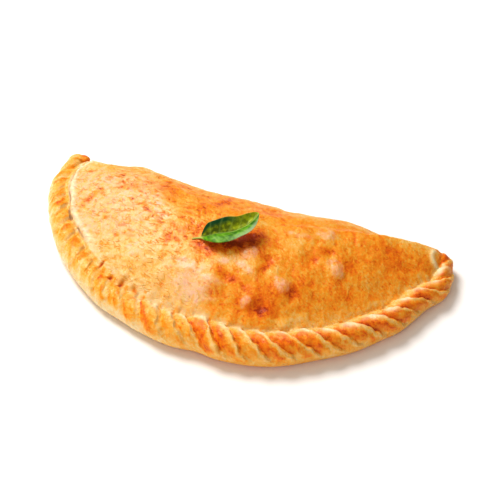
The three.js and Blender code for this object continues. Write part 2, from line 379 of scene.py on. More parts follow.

# Pale, faintly pink patches: paler dough at the left, and painted sheen highlights on the lumps and
# the front slope; the same values, with how pale in the last place.
PALE_AND_SHEEN_PATCHES = [
    (-96, -34, 12, 9, 20, 0.5),
    (-78, -50, 9, 6, 10, 0.5),
    (-56, -50, 15, 7, -15, 0.5),
    (-44, -62, 8, 5, 0, 0.6),
    (-46, -88, 16, 7, 15, 0.6),
    (3, -103, 15, 9.5, 10, 1.3),
    (-12, -92, 14, 7, 20, 0.6),
    (26.5, -70, 7, 5.5, 60, 1.2),
    (54, -82, 4.8, 4, 30, 1.5),
    (32, -84, 4, 6, 0, 0.5),
    (20, -82, 12, 4.5, 0, 0.9),
    (38, -101, 4.8, 2.6, 80, 1.3),
    (80, -54, 5, 4.4, 60, 1.8),
    (66, -32, 6, 5, 0, 1.1),
    (50, -42, 9, 4, 20, 0.8),
    (-112, -26, 8, 12, 20, 0.35),
]

# The basil leaf from the end of its stalk to its tip, along the edge nearer to the rope, the
# midrib and the edge nearer to the fold: x, y and height above the table.
LEAF_NEAR_EDGE = [
    (-12.7, -75.5, 41.0),
    (-7.6, -73.5, 41.8),
    (-4.5, -74.2, 42.2),
    (-0.2, -74.7, 43.0),
    (4.6, -74.7, 43.8),
    (10, -73.0, 44.8),
    (14, -70.4, 45.7),
    (18.2, -66.1, 47.0),
    (21.9, -61.4, 47.9),
    (23.6, -56.6, 48.9),
    (23.5, -50.6, 49.5),
    (21.6, -44.1, 49.3),
]
LEAF_MIDRIB = [
    (-12.8, -74.9, 41.2),
    (-7.8, -72.8, 41.9),
    (-5.3, -70.9, 42.3),
    (-2.1, -68.4, 42.8),
    (1.8, -65.8, 43.4),
    (6.5, -63.6, 44.0),
    (10.8, -61.3, 44.6),
    (14.4, -58.0, 45.6),
    (17.6, -54.6, 46.7),
    (19.5, -50.8, 47.8),
    (20.8, -47.3, 48.8),
    (21.5, -43.8, 49.4),
]
LEAF_FAR_EDGE = [
    (-12.9, -74.3, 41.2),
    (-8.2, -72.1, 42.2),
    (-7.8, -70.3, 43.8),
    (-7.2, -67.2, 46.5),
    (-5.6, -64.5, 48.8),
    (-2.0, -62.0, 50.3),
    (3.9, -57.1, 51.3),
    (10.1, -53.9, 51.2),
    (14.0, -49.7, 51.2),
    (16.8, -46.3, 50.6),
    (19.3, -43.9, 49.9),
    (21.3, -43.5, 49.5),
]
# How far the blade stands off those places, and by what share of its length it gets there.
LEAF_LIFT = np.array([1.2, -2.8, 3.0])
LEAF_LIFT_SHARE = 0.35
LEAF_SECTIONS = 110
LEAF_SPANS = 48
LEAF_THICKNESS = 0.35
STALK_THICKNESS = 0.9
STALK_WIDTH = 0.8
LEAF_VEIN_SPACING = 6.2
LEAF_VEIN_SLANT = 0.75
LEAF_PUCKER = 0.26
MIDRIB_WIDTH = 0.7
MIDRIB_DEPTH = 0.4
LEAF_CLEARANCE = 0.3
FAR_BULGE = -1.6
NEAR_BULGE = 0.9

# Steps of the curves and skins, and how far one noise pattern lies from the next.
RIM_SAMPLES = 2400
RIM_STEP = 0.5
SEAM_SAMPLES = 240
VOXEL = 0.6
MOST_TRIANGLES = 195000
BODY_SECTORS = 400
BODY_RINGS = 90
TUCK_RINGS = 10
ROPE_SECTIONS = 900
ROPE_SIDES = 120
NOISE_STEP = np.array([17.3, 5.1, 9.7])

# ---- Shared helpers ----


def smoothstep(low, high, value):
    """0 at low, 1 at high and eased between; either may be the greater."""
    share = np.clip((value - low) / (high - low), 0, 1)
    return share * share * (3 - 2 * share)


def bell(value, middle, width):
    """1 at the middle, fading smoothly to nothing about two widths away."""
    return np.exp(-(((value - middle) / width) ** 2))


def blob(x, y, middle_x, middle_y, radius):
    """The same in plan, round a place."""
    return np.exp(-((x - middle_x) ** 2 + (y - middle_y) ** 2) / radius**2)


def turned(x, y, turn):
    """Lengths along and across a direction in plan, which is given in degrees."""
    cosine, sine = math.cos(math.radians(turn)), math.sin(math.radians(turn))
    return x * cosine + y * sine, y * cosine - x * sine


def patch(x, y, middle_x, middle_y, half_length, half_width, turn):
    """A blob that is longer one way and turned."""
    along, across = turned(x - middle_x, y - middle_y, turn)
    return np.exp(-((along / half_length) ** 2) - (across / half_width) ** 2)


def noise_field(points, size, seed):
    """Smooth noise between about -1 and 1, with features of the given size."""
    places = points / size + NOISE_STEP * seed
    return np.array([noise.noise(place) for place in places.tolist()])


def catmull_rom(points, samples, closed=False):
    """Points along a Catmull-Rom curve, evenly spaced in its parameter."""
    points = np.asarray(points, float)
    if closed:
        padded = np.vstack([points[-1:], points, points[:2]])
        spans = len(points)
    else:
        padded = np.vstack([2 * points[0] - points[1], points, 2 * points[-1] - points[-2]])
        spans = len(points) - 1
    turn = np.linspace(0, spans, samples, endpoint=not closed)
    span = np.minimum(turn.astype(int), spans - 1)
    t = (turn - span)[:, None]
    before, start, end, after = (padded[span + step] for step in range(4))
    start_slope = (end - before) / 2
    end_slope = (after - start) / 2
    return (
        (2 * t**3 - 3 * t**2 + 1) * start
        + (t**3 - 2 * t**2 + t) * start_slope
        + (3 * t**2 - 2 * t**3) * end
        + (t**3 - t**2) * end_slope
    )


class Skin:
    """Closed skins gathered into one list of vertices and faces."""

    def __init__(self):
        self.vertices = []
        self.faces = []

    def loft(self, first_pole, rings, last_pole):
        base = len(self.vertices)
        sides = len(rings[0])
        self.vertices.append(tuple(first_pole))
        for ring in rings:
            self.vertices.extend(map(tuple, ring))
        self.vertices.append(tuple(last_pole))
        last = len(self.vertices) - 1
        end = last - sides
        for side in range(sides):
            after = (side + 1) % sides
            self.faces.append((base, base + 1 + after, base + 1 + side))
            self.faces.append((last, end + side, end + after))
            for ring in range(len(rings) - 1):
                here = base + 1 + ring * sides
                there = here + sides
                self.faces.append((here + side, here + after, there + after, there + side))

    def to_mesh(self, name):
        mesh = bpy.data.meshes.new(name)
        vertices = np.array(self.vertices) * MM
        vertices[:, 2] = np.maximum(vertices[:, 2], 0)
        mesh.from_pydata(vertices.tolist(), [], self.faces)
        mesh.update()
        return mesh


# ---- Rim ----


class Rim:
    """The rope's centre line, with its radius and directions at any distance along it."""

    def __init__(self):
        self.line = catmull_rom(RIM_STATIONS, RIM_SAMPLES)
        steps = np.hypot(*np.diff(self.line[:, :2], axis=0).T)
        self.distance = np.concatenate([[0], np.cumsum(steps)])
        self.length = self.distance[-1]
        slope = np.gradient(self.line[:, :2], axis=0)
        self.along = slope / np.linalg.norm(slope, axis=1)[:, None]

    def at(self, distance):
        """Centres, radii and outward directions at an array of distances."""
        inside = np.clip(distance, 0, self.length)
        x, y, radius = (np.interp(inside, self.distance, column) for column in self.line.T)
        along_x, along_y = (np.interp(inside, self.distance, column) for column in self.along.T)
        size = np.hypot(along_x, along_y)
        along = np.stack([along_x / size, along_y / size, 0 * x], axis=1)
        outward = np.stack([along[:, 1], -along[:, 0], 0 * x], axis=1)
        push = sum(out * bell(inside, middle, reach) for middle, reach, out in RIM_BULGES)
        centre = np.stack([x, y, radius * ROPE_CENTRE_SHARE], axis=1)
        centre += along * (distance - inside)[:, None] + outward * push[:, None]
        return centre, radius, outward


class Folds:
    """Which fold of the rope a place lies on, and how far across it."""

    def __init__(self):
        self.places, self.browning, self.relief = np.array(FOLDS, float).T
        middles = (self.places[1:] + self.places[:-1]) / 2
        first = self.places[0] - FIRST_FOLD_REACH
        last = self.places[-1] + LAST_FOLD_REACH
        self.borders = np.concatenate([[first], middles, [last]])

    def at(self, distance, angle):
        """The fold, how far across it from 0 to 1, and the distance measured across the slant."""
        slant = LEFT_FOLD_SLANT + (FOLD_SLANT - LEFT_FOLD_SLANT) * smoothstep(*SLANT_CHANGE, distance)
        waver = FOLD_WAVER * np.sin(0.37 * distance + 2.3 * angle) * np.cos(1.9 * angle)
        flutter = np.sin(0.83 * distance - 3.1 * angle + 1) * np.sin(0.29 * distance)
        slanted = distance - slant * (FOLD_DATUM - angle) + waver + FOLD_FLUTTER * flutter
        fold = np.clip(np.searchsorted(self.borders, slanted) - 1, 0, len(self.places) - 1)
        width = self.borders[fold + 1] - self.borders[fold]
        phase = np.clip((slanted - self.borders[fold]) / width, 0, 1)
        return fold, phase, slanted

    def height(self, fold, phase, angle):
        """0 in a crease to 1 on a crown: each fold rises from under the last to a raised lip."""
        rise = 1 - (1 - np.clip(phase / CROWN_PHASE, 0, 1)) ** 2
        lip_phase = LIP_PHASE - LIP_SOFTENING * (1 - smoothstep(*LIP_SHARPENING, self.places[fold]))
        lip = 1 + LIP_RISE * bell(phase, lip_phase - LIP_SETBACK, LIP_WIDTH)
        step = 1 - smoothstep(lip_phase, 1, phase)
        outer_fade = smoothstep(*FOLD_OUTER_FADE, angle)
        inner_fade = 1 - smoothstep(*FOLD_INNER_FADE, angle)
        return rise * lip * step * self.relief[fold] * outer_fade * inner_fade


UP = np.array([0.0, 0.0, 1.0])
rim = Rim()
folds = Folds()


def core_share(distance, angle):
    """The rope's core is slack under the folds, and full below them and at the right end."""
    low = smoothstep(*CORE_FILLS, np.sin(angle))
    top = CORE_TOP_SHARE + RIGHT_END_FILLING * smoothstep(*RIGHT_END_START, distance)
    return top + (CORE_BASE_SHARE - top) * low


def add_rope(skin):
    left_reach = rim.line[0, 2] * CORE_TOP_SHARE
    right_reach = rim.line[-1, 2] * CORE_BASE_SHARE
    angles = np.linspace(-math.pi, math.pi, ROPE_SIDES, endpoint=False)
    distances = np.linspace(-left_reach, rim.length + right_reach, ROPE_SECTIONS)
    beyond = np.maximum(-distances / left_reach, (distances - rim.length) / right_reach)
    closing = np.sqrt(1 - np.clip(beyond, 0, 1) ** 2)
    centres, radii, outwards = rim.at(distances)
    rings = []
    for section in range(1, ROPE_SECTIONS - 1):
        fold, phase, _ = folds.at(distances[section], angles)
        height = folds.height(fold, phase, angles)
        share = core_share(distances[section], angles)
        size = radii[section] * closing[section] * (share + (FOLD_TOP_SHARE - share) * height)
        around = np.cos(angles)[:, None] * outwards[section] + np.sin(angles)[:, None] * UP
        rings.append(centres[section] + around * size[:, None])
    skin.loft(centres[0], rings, centres[-1])


# ---- Body ----


def add_body(skin):
    """The filled body, from its crown out to the edge and under to the base."""
    edge = catmull_rom([row[:3] for row in BODY_STATIONS], BODY_SECTORS, closed=True)
    profile = catmull_rom([row[3:] for row in BODY_STATIONS], BODY_SECTORS, closed=True)
    rings = []
    for ring in range(1, BODY_RINGS + 1):
        share = math.sin(ring / BODY_RINGS * math.pi / 2)
        fall = MEAN_FALL + (profile[:, 0] - MEAN_FALL) * share**2
        points = CROWN + (edge - CROWN) * share
        points[:, 2] = edge[:, 2] + (CROWN[2] - edge[:, 2]) * (1 - share**2) ** fall
        rings.append(points)
    for drop in np.linspace(1 / TUCK_RINGS, 1, TUCK_RINGS):
        inset = np.maximum(profile[:, 1], 0) * (1 - math.cos(drop * math.pi / 2))
        points = edge + (CROWN - edge) * inset[:, None]
        points[:, 2] = edge[:, 2] * (1 - math.sin(drop * math.pi / 2))
        rings.append(points)
    skin.loft(CROWN, rings, (CROWN[0], CROWN[1], 0))


# ---- Mesh tools ----


def read_points(mesh):
    points = np.zeros(len(mesh.vertices) * 3)
    mesh.vertices.foreach_get("co", points)
    return points.reshape(-1, 3) / MM


def write_points(mesh, points):
    mesh.vertices.foreach_set("co", (points * MM).ravel())
    mesh.update()


def read_normals(mesh):
    normals = np.zeros(len(mesh.vertices) * 3)
    mesh.vertex_normals.foreach_get("vector", normals)
    return normals.reshape(-1, 3)


class Smoother:
    """Averages values over the neighbours of each vertex."""

    def __init__(self, mesh):
        ends = np.zeros(len(mesh.edges) * 2, int)
        mesh.edges.foreach_get("vertices", ends)
        self.first, self.second = ends.reshape(-1, 2).T
        self.count = len(mesh.vertices)
        self.links = np.bincount(ends, minlength=self.count)

    def mean(self, values):
        total = np.bincount(self.first, values[self.second], self.count)
        total += np.bincount(self.second, values[self.first], self.count)
        return total / self.links

    def smooth(self, values, rounds, amount=0.6):
        if values.ndim == 2:
            return np.stack([self.smooth(column, rounds, amount) for column in values.T], axis=1)
        for _ in range(rounds):
            values = values + (self.mean(values) - values) * amount
        return values


def add_object(name, data):
    thing = bpy.data.objects.new(name, data)
    bpy.context.scene.collection.objects.link(thing)
    return thing


def with_modifier(mesh, kind, **settings):
    """A new mesh: this one with one modifier applied."""
    carrier = add_object("carrier", mesh)
    modifier = carrier.modifiers.new("change", kind)
    for name, value in settings.items():
        setattr(modifier, name, value)
    graph = bpy.context.evaluated_depsgraph_get()
    result = bpy.data.meshes.new_from_object(carrier.evaluated_get(graph))
    bpy.data.objects.remove(carrier)
    return result


def add_attributes(mesh, fields):
    for name, values in fields.items():
        attribute = mesh.attributes.new(name, "FLOAT", "POINT")
        attribute.data.foreach_set("value", np.asarray(values, np.float32))


# ---- Crust ----


class RopeCoordinates:
    """Where each vertex lies on the rope: along it, round it, and across its own fold."""

    def __init__(self, points):
        stations = np.arange(0, rim.length, RIM_STEP)
        centres, radii, outwards = rim.at(stations)
        tree = kdtree.KDTree(len(stations))
        for index, (x, y, _) in enumerate(centres.tolist()):
            tree.insert((x, y, 0), index)
        tree.balance()
        nearest = np.array([tree.find((x, y, 0))[1] for x, y, _ in points.tolist()])
        offset = points - centres[nearest]
        out = (offset * outwards[nearest]).sum(axis=1)
        self.distance = stations[nearest]
        self.is_inside = (out < 0) * 1.0
        self.reach = np.hypot(out, offset[:, 2]) / radii[nearest]
        self.angle = np.arctan2(offset[:, 2], out)
        self.fold, self.phase, slanted = folds.at(self.distance, self.angle)
        self.is_rope = 1 - smoothstep(*ROPE_EDGE, self.reach)
        across_folds = np.stack([slanted, GRAIN_TURN * self.angle, 0 * out], axis=1)
        self.grain = noise_field(across_folds, size=1.7, seed=21)
        self.ripple = noise_field(across_folds, size=3.6, seed=22)


def crust_mesh():
    skin = Skin()
    add_body(skin)
    add_rope(skin)
    rough = skin.to_mesh("calzone_rough")
    return with_modifier(rough, "REMESH", mode="VOXEL", voxel_size=VOXEL * MM)


def wrinkle_noise(points, turn, size, stretch, seed):
    """Noise drawn out along one direction in plan."""
    along, across = turned(points[:, 0], points[:, 1], turn)
    places = np.stack([along / stretch, across, points[:, 2] / stretch], axis=1)
    return noise_field(places, size, seed)


class Seam:
    """The open seam: a broken groove, painted dark as shade, with a puckered pale edge on the side of
    the top.
    """

    def __init__(self, x, y):
        line = catmull_rom(SEAM_LINE, SEAM_SAMPLES)
        steps = np.gradient(line, axis=0)
        apart = np.full(len(x), np.inf)
        side = np.zeros(len(x))
        place = np.zeros(len(x))
        travelled = 0
        for (line_x, line_y), (step_x, step_y) in zip(line, steps):
            away = np.hypot(x - line_x, y - line_y)
            nearer = away < apart
            apart = np.where(nearer, away, apart)
            side = np.where(nearer, np.sign(step_x * (y - line_y) - step_y * (x - line_x)), side)
            travelled += math.hypot(step_x, step_y)
            place = np.where(nearer, travelled, place)
        inward = side * apart
        share = place / travelled
        wave = np.sin(place * 0.33 + 1) + 0.7 * np.sin(place * 0.83 + 1) + 0.5 * np.sin(place * 0.17)
        gaping = smoothstep(-2.0, 0.9, wave) * (1 - smoothstep(*SEAM_GAP_END, share))
        self.gap = bell(inward, 0, SEAM_GAP_WIDTH) * gaping
        beat = 2 * math.pi * place / SEAM_PUCKER + 2.6 * np.sin(place * 0.23) + 0.3 * inward
        pucker = 0.84 + 0.16 * np.sin(beat)
        width = SEAM_EDGE_WIDTH + 0.4 * np.sin(place * 0.19 + 2)
        beside = bell(inward, SEAM_EDGE_PLACE, width) * (1 - smoothstep(*SEAM_EDGE_END, share))
        self.edge = beside * pucker


def warp(points, seed):
    """How far places are moved, one way, so that the painted patches get uneven outlines."""
    return 3 * noise_field(points, 13, seed) + 1.8 * noise_field(points, 5, seed + 1)


class Bake:
    """Fields over the crust that both its relief and its colour follow."""

    def __init__(self, points, normals, rope):
        self.x, self.y = points[:, 0], points[:, 1]
        self.left = smoothstep(*LEFT_SIDE, self.x)
        self.on_top = smoothstep(0.05, 0.4, normals[:, 2])
        self.on_dome = self.on_top * smoothstep(*DOME_EDGE, rope.reach) * rope.is_inside
        self.seam = Seam(self.x, self.y)
        self.lumps = 0.8 * noise_field(points, 24, seed=1) + 0.7 * noise_field(points, 11, seed=2)
        self.crumple = noise_field(points, size=4.6, seed=3)
        self.crests = self.wrinkle_crests(points)
        self.hollows = smoothstep(-0.1, -0.8, self.crests)
        self.warp_x = warp(points, seed=11)
        self.warp_y = warp(points, seed=13)

    def wrinkle_crests(self, points):
        """Fine crests between about -1 and 1: along x at the left, steeper toward the middle."""
        flat = wrinkle_noise(points, turn=-12, size=3.2, stretch=2.6, seed=4)
        steep = wrinkle_noise(points, turn=-62, size=3.2, stretch=2.2, seed=5)
        field = flat + (steep - flat) * smoothstep(*WRINKLE_CHANGE, self.x)
        return 1 - 2.2 * np.abs(field)

    def patches(self, table):
        x, y = self.x + self.warp_x, self.y + self.warp_y
        return sum(amount * patch(x, y, *place) for *place, amount in table)

    def slits(self, column):
        """All slits together, each weighted by one column of their table."""
        return sum(row[column] * patch(self.x, self.y, *row[:5]) for row in SLITS)

    def curl(self):
        """The pale raised edge round the rope's curled end at the right, from 0 to 1."""
        x, y = self.x - CURL_MIDDLE[0], self.y - CURL_MIDDLE[1]
        ring = bell(np.hypot(x, y), CURL_RADIUS, CURL_WIDTH)
        return ring * smoothstep(0.3, -0.4, (0.5 * x + y) / CURL_RADIUS)

    def knob(self):
        """The brown middle of that curled end, from 0 to 1."""
        return blob(self.x, self.y, *KNOB_MIDDLE, KNOB_RADIUS)


def crease_depth(smoother, points, normals, rounds):
    """How far each vertex lies below, or if negative above, the mean of its surroundings."""
    return ((smoother.smooth(points, rounds) - points) * normals).sum(axis=1)


def shape_crust(mesh):
    """Smooths the joins and adds the lumps, wrinkles and slits of the baked top."""
    smoother = Smoother(mesh)
    points = smoother.smooth(read_points(mesh), 2)
    write_points(mesh, points)
    normals = read_normals(mesh)
    rope = RopeCoordinates(points)
    bake = Bake(points, normals, rope)
    rise = sum(height * blob(bake.x, bake.y, *place) for *place, height in LUMPS)
    crests = bake.crests * (CREST_RISE + LEFT_CREST_RISE * bake.left)
    rise += bake.lumps + CRUMPLE_RISE * bake.crumple + crests
    rise *= bake.on_dome

    rise += (SEAM_EDGE_RISE * bake.seam.edge - SEAM_DEPTH * bake.seam.gap) * bake.on_top
    tuck = np.sin(2 * math.pi * rope.phase) * bell(rope.reach, TUCK_REACH, TUCK_WIDTH)
    rise += TUCK_RISE * tuck * bake.on_top * rope.is_inside * smoothstep(*TUCK_START, rope.distance)
    rise -= bake.slits(SLIT_DEPTH) * bake.on_top
    rise += (CURL_RISE * bake.curl() + KNOB_RISE * bake.knob()) * bake.on_top
    upper = rope.is_rope * smoothstep(-0.6, 0.3, rope.angle)
    ripple = ROPE_RIPPLE_RISE * (1 - 0.5 * smoothstep(*RIPPLE_CALMING, rope.distance)) * rope.ripple
    rise += upper * (ROPE_CRUMPLE_RISE * bake.crumple + ROPE_GRAIN_RISE * rope.grain + ripple)

    points += normals * rise[:, None]
    points[:, 2] = np.where(points[:, 2] < BASE_SNAP, 0, points[:, 2])
    write_points(mesh, points)
    return smoother, rope, bake


def dome_bake(bake, rope):
    """How brown the filled top is: pale at the left, deep orange at the back and right, with painted
    shade in the wrinkles' hollows and the leaf's painted shadow.
    """
    x, y = bake.x, bake.y
    toward_right = smoothstep(-55, 45, x - 0.3 * (y + 60))
    behind = smoothstep(-60, -30, y) * smoothstep(-105, -60, x) * (1 - smoothstep(0, 60, x))
    by_fold = smoothstep(-30, 0, y)
    by_rope = bell(rope.reach, 1.2, 0.6)
    on_crests = smoothstep(0.3, 0.9, bake.crests)
    brown = 0.35 + 0.24 * toward_right + 0.14 * behind - 0.08 * by_fold - 0.17 * by_rope
    brown += bake.patches(BROWNING_AND_SHADOW_PATCHES)
    brown += 0.05 * bake.lumps - 0.06 * bake.crumple
    # Browner in the wrinkles' hollows and paler on their crests: painted shade in the hollows and
    # painted sheen on the crests.
    return brown + (0.28 * bake.left + 0.1) * bake.hollows - 0.1 * on_crests


def dome_pale_and_sheen(bake):
    """How pale and faintly pink the filled top is, as paler dough and painted sheen: most at the
    left, least where it is browned.
    """
    at_left = 1 - smoothstep(-50, 5, bake.x + 0.8 * (bake.y + 70))
    by_fold = smoothstep(-35, -12, bake.y)
    by_rope = smoothstep(-72, -90, bake.y)
    pale_and_sheen = 0.8 * at_left * (1 - 0.7 * by_fold) * (1 - 0.8 * by_rope)
    pale_and_sheen += 0.85 * smoothstep(0.25, 0.9, bake.patches(PALE_AND_SHEEN_PATCHES) + 0.45 * bake.crumple)
    browned = np.maximum(bake.patches(BROWNING_AND_SHADOW_PATCHES), 0) + bake.slits(SLIT_DARKNESS)
    # Less of it in the wrinkles' hollows, so the painted sheen sits on their crests.
    return np.clip(pale_and_sheen - 1.5 * browned, 0, 1) * (1 - 0.55 * bake.hollows)


def fold_crown(bake, rope):
    """Where on a fold it browns, from 0 to 1: across its crown, short of its pale lip."""
    phase = rope.phase + 0.08 * bake.crumple + 0.06 * rope.grain
    lip = PALE_LIP_PHASE + LATE_LIP_SHIFT * smoothstep(*LATE_LIP_START, rope.distance)
    return smoothstep(-0.04, 0.08, phase) * (1 - smoothstep(lip - 0.08, lip + 0.2, phase))


def browned_window(rope, far_left):
    """Where round the rope the folds are browned, from 0 to 1: higher up at the far left."""
    lower = BROWN_FROM + BROWN_FROM_LEFT * far_left + 0.2 * np.sin(rope.distance * 0.31)
    window = smoothstep(lower - 0.35, lower + 0.5, rope.angle)
    return window * (1 - smoothstep(BROWN_FADES, BROWN_TO + BROWN_TO_LEFT * far_left, rope.angle))


def rope_bake(bake, rope):
    """Brown across each fold and, as painted warm shade with some browning, in the creases between
    folds; pale at its lip, at the inner edge and near the base.
    """
    at_left = 1 - smoothstep(*LEFT_PART_END, rope.distance)
    far_left = 1 - smoothstep(*FAR_LEFT_END, rope.distance)
    low = 1 - smoothstep(-0.2, 0.7, rope.angle)
    brown = 0.24 - 0.05 * at_left + low * (0.1 - 0.25 * at_left)
    patchy = 0.86 + 0.3 * bake.crumple + 0.3 * rope.ripple
    browning = folds.browning[rope.fold] * fold_crown(bake, rope) * browned_window(rope, far_left)
    brown += 0.48 * browning * patchy
    brown += 0.3 * blob(bake.x, bake.y, *LEFT_TIP, LEFT_TIP_RADIUS)
    # Browner in the creases between folds: painted warm shade, with some browning.
    falling = (1 - rope.phase) / (CREASE_PHASE * (1 + at_left))
    crease = bell(np.minimum(rope.phase / CREASE_PHASE, falling), 0, 1)
    brown += (0.3 - 0.1 * far_left) * crease * smoothstep(0.1, 0.8, rope.angle)
    return brown + 0.08 * rope.grain + 0.12 * at_left * rope.ripple


def rope_pale_and_highlight(rope):
    """Pale spots with a painted highlight at the inner ends of the folds' lips, from 0 to 1."""
    middle = LIP_SPOT_ANGLE - LIP_SPOT_TURN * smoothstep(*LIP_SPOT_CLIMB, rope.distance)
    spot = bell(rope.phase, LIP_SPOT_PHASE, LIP_SPOT_LENGTH) * bell(rope.angle, middle, LIP_SPOT_WIDTH)
    near = 1 - smoothstep(*LIP_SPOT_EDGE, rope.reach)
    return spot * near * smoothstep(*LIP_SPOT_START, rope.distance)


def paint_crust(mesh, smoother, rope, bake):
    """Stores the colour fields: browning with painted shade in the creases, paleness with painted
    sheen and highlights, darkness inside the slits, and the seam gap's painted shade.
    """
    points = read_points(mesh)
    normals = read_normals(mesh)
    sunken = crease_depth(smoother, points, normals, rounds=5)
    # How much darker it is inside the slits.
    darkness = bake.slits(SLIT_DARKNESS)
    on_dome = 1 - rope.is_rope
    brown = rope_bake(bake, rope) * rope.is_rope + dome_bake(bake, rope) * on_dome
    # Browner where the crust is sunken: painted shade in the creases, with some browning.
    brown += 0.6 * np.clip(sunken - 0.1, 0, 0.5) + 0.8 * darkness
    brown += 0.14 * bake.knob() - 0.3 * bake.curl()
    under = smoothstep(-0.2, -0.9, normals[:, 2])
    pale_and_sheen = dome_pale_and_sheen(bake) * on_dome
    # A painted highlight on the top's front slope, beside the rope.
    by_rope = pale_and_sheen * smoothstep(-80, -94, bake.y)
    seam_edge = bake.seam.edge * bake.on_top
    # Pale seam edge, lip spots and curl, with the painted highlights on the lips and on the front
    # slope.
    flour_and_highlight = np.maximum.reduce([seam_edge, 0.9 * rope_pale_and_highlight(rope), 0.4 * bake.curl(), 0.2 * by_rope])
    add_attributes(mesh, {
        "bake": brown + 0.25 * under,
        "pale": pale_and_sheen,
        "flour_and_highlight": np.clip(flour_and_highlight, 0, 1),
        "slit_dark": np.clip(darkness, 0, 1),
        # The seam gap, painted dark as shade.
        "gap": bake.seam.gap * bake.on_top,
        "wrinkled": bake.left * on_dome,
    })


def shift_to_cad(points):
    """How far the plan frame used here lies from the CAD frame."""
    low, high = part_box("calzone")
    middle = (points.min(axis=0) + points.max(axis=0)) / 2
    shift = (np.array(low) + np.array(high)) / 2 / MM - middle
    shift[2] = 0
    return shift


def add_piece(name, mesh, material, node):
    mesh.name = name
    mesh.shade_smooth()
    mesh.materials.clear()
    mesh.materials.append(material)
    piece = add_object(name, mesh)
    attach(piece, "root")
    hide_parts(node)


def make_crust():
    """Adds the crust and gives the shift to the CAD frame and the surface that it leaves."""
    mesh = crust_mesh()
    paint_crust(mesh, *shape_crust(mesh))
    points = read_points(mesh)
    shift = shift_to_cad(points)
    faces = [tuple(face.vertices) for face in mesh.polygons]
    surface = bvhtree.BVHTree.FromPolygons(points.tolist(), faces)
    write_points(mesh, points + shift)
    triangles = 2 * len(mesh.polygons)
    mesh = with_modifier(mesh, "DECIMATE", ratio=min(1, MOST_TRIANGLES / triangles))
    add_piece("calzone_crust", mesh, crust_material(), "calzone")
    return shift, surface


# ---- Leaf ----


def leaf_relief(along, side, width):
    """Puckered between the veins, with a groove along the midrib; also how near a vein is."""
    beat = (along - LEAF_VEIN_SLANT * np.abs(side) * width) / LEAF_VEIN_SPACING
    near_vein = np.abs(beat - np.round(beat)) * 2
    full = np.minimum(width / 4, 1)
    pucker = LEAF_PUCKER * near_vein**0.7 * (1 - side**4) * full * smoothstep(0, 0.2, np.abs(side))
    midrib = bell(side * width, 0, MIDRIB_WIDTH)
    vein = np.clip(0.4 * bell(near_vein, 0, 0.16) + midrib, 0, 1)
    return pucker - MIDRIB_DEPTH * midrib * full, vein


def leaf_section(near, middle, far, side):
    """Points across the blade: hollow toward the far edge, slightly arched toward the near one."""
    reach = np.abs(side)[:, None]
    edge = np.where(side[:, None] > 0, far, near)
    points = middle + (edge - middle) * reach
    width = np.linalg.norm(edge - middle, axis=1)
    bulge = np.where(side > 0, FAR_BULGE, NEAR_BULGE) * np.minimum(width / 8, 1)
    points[:, 2] += bulge * np.sin(math.pi * np.abs(side))
    return points, width


def crust_height(surface, x, y):
    above = 2 * CROWN[2]
    return surface.ray_cast((x, y, above), (0, 0, -1))[0].z


def leaf_skin(surface):
    """The blade's skin with, for each vertex, how near a vein it is, its side and its under face."""
    lift = LEAF_LIFT * smoothstep(0, LEAF_LIFT_SHARE, np.linspace(0, 1, LEAF_SECTIONS))[:, None]
    tables = (LEAF_NEAR_EDGE, LEAF_MIDRIB, LEAF_FAR_EDGE)
    rails = [catmull_rom(table, LEAF_SECTIONS) + lift for table in tables]
    steps = np.linalg.norm(np.diff(rails[1], axis=0), axis=1)
    along = np.concatenate([[0], np.cumsum(steps)])
    side = np.linspace(-1, 1, LEAF_SPANS + 1)
    rings, veins, sides, unders, shares = [], [], [], [], []
    for near, middle, far, distance in zip(*rails, along):
        points, width = leaf_section(near, middle, far, side)
        relief, vein = leaf_relief(distance, side, width)
        crust = [crust_height(surface, x, y) for x, y, _ in points.tolist()]
        height = np.maximum(points[:, 2] + relief, np.array(crust) + LEAF_CLEARANCE)
        blade = min(max(width.max() - STALK_WIDTH, 0) / 2, 1)
        thickness = STALK_THICKNESS + (LEAF_THICKNESS - STALK_THICKNESS) * blade
        thickness = thickness * np.sqrt(np.clip(1.02 - side**2, 0, 1)) / 2
        upper = np.column_stack([points[:, :2], height + thickness])
        lower = np.column_stack([points[:, :2], height - thickness])
        rings.append(np.vstack([upper, lower[::-1]]))
        veins.extend([*vein, *vein[::-1]])
        sides.extend([*side, *side[::-1]])
        unders.extend([*(0 * side), *(0 * side + 1)])
        shares.extend([distance / along[-1]] * 2 * len(side))
    skin = Skin()
    skin.loft(rings[0].mean(axis=0), rings, rings[-1].mean(axis=0))
    fields = {"vein": veins, "side": sides, "under": unders, "share": shares}
    return skin, {name: [0, *values, 0] for name, values in fields.items()}


def make_leaf(shift, surface):
    skin, fields = leaf_skin(surface)
    skin.vertices = [tuple(np.array(vertex) + shift) for vertex in skin.vertices]
    mesh = skin.to_mesh("basil_leaf")
    add_attributes(mesh, fields)
    add_piece("basil_leaf_blade", mesh, leaf_material(), "basil_leaf")


# ---- Materials ----


# The colour mix node's sockets.
MIX_FIRST, MIX_SECOND, MIX_RESULT = 6, 7, 2


